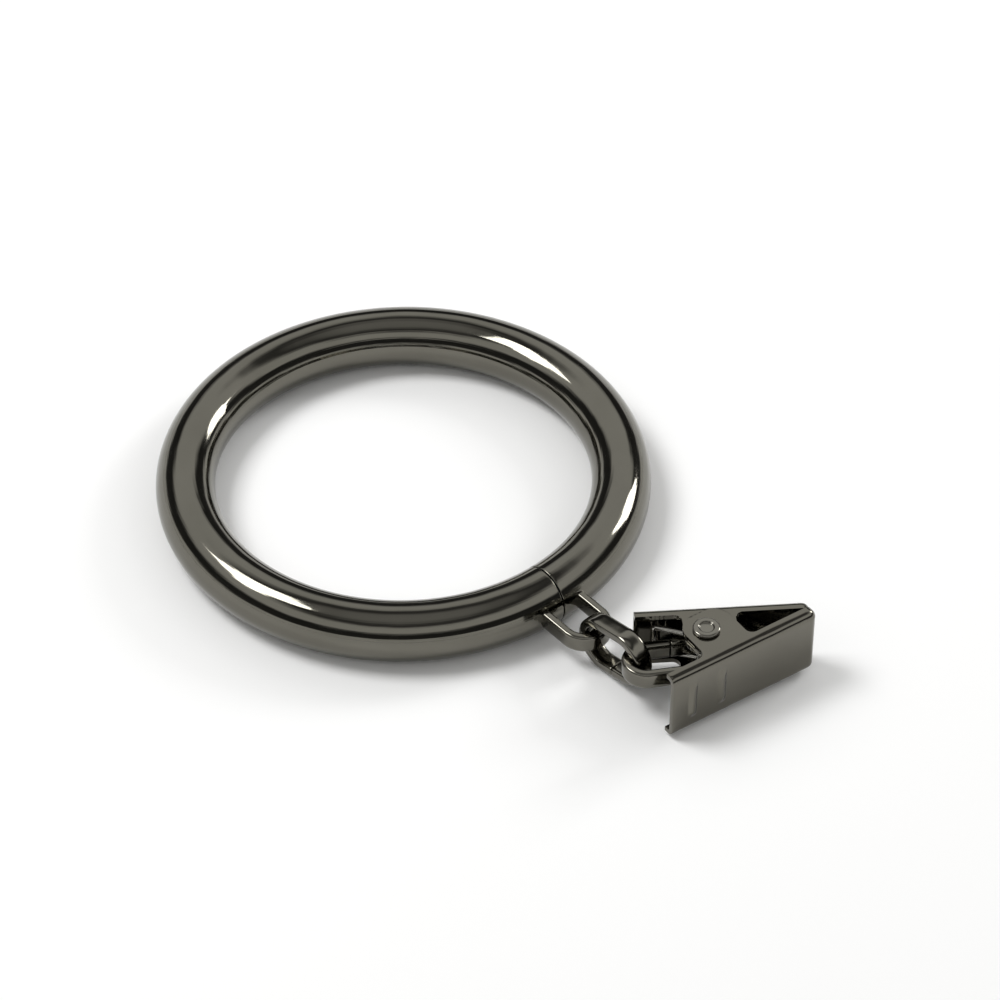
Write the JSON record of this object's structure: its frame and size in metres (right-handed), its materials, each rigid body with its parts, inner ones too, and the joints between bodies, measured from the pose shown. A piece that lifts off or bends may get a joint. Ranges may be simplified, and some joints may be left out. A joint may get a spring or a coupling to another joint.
{
  "type": "curtain ring with clip",
  "caption": "Round tube curtain ring with an eyelet, linked chain and a spring clip with toothed jaws that grips the curtain's top edge.",
  "frame": {"origin": "centre of the ring's hole, in the ring's middle plane", "axes": "+Z runs along the rod and up from the surface the ring lies on, -Y points to the eyelet and the chain"},
  "size_m": [0.05, 0.0696, 0.0084],
  "materials": {
    "ring_nickel": "polished dark nickel plate",
    "wire_nickel": "polished dark nickel plate",
    "sheet_nickel": "polished dark nickel plate",
    "pin_nickel": "polished dark nickel plate",
    "spring_steel": "bright nickel plated spring wire"
  },
  "bodies": {
    "ring_body": {"ring_tube": "ring_nickel", "eyelet": "wire_nickel"},
    "upper_link_body": {"upper_link": "wire_nickel"},
    "lower_link_body": {"lower_link": "wire_nickel"},
    "clip_body": {"inner_jaw": "sheet_nickel", "pivot_pin": "pin_nickel", "torsion_spring": "spring_steel"},
    "outer_jaw_body": {"outer_jaw": "sheet_nickel"}
  },
  "joints": [
    {"name": "upper_link_swing", "type": "hinge", "parent": "ring_body", "child": "upper_link_body", "pos_m": [0, -0.0301, 0], "axis": [1, 0, 0], "range_deg": [-75, 75]},
    {"name": "lower_link_turn", "type": "hinge", "parent": "upper_link_body", "child": "lower_link_body", "pos_m": [0, -0.03643, 0.0012], "axis": [0, 0, 1], "range_deg": [-114, 4]},
    {"name": "clip_turn", "type": "hinge", "parent": "lower_link_body", "child": "clip_body", "pos_m": [0.00532, -0.0395, 0.0012], "axis": [0, 0, 1], "range_deg": [-5, 4]},
    {"name": "jaw_open", "type": "hinge", "parent": "clip_body", "child": "outer_jaw_body", "pos_m": [0.00532, -0.0395, 0.0012], "axis": [0, 0, -1], "range_deg": [0, 20], "stiffness_Nm_per_rad": 0.01, "springref_deg": -57.3, "deforming": ["torsion_spring"]}
  ]
}
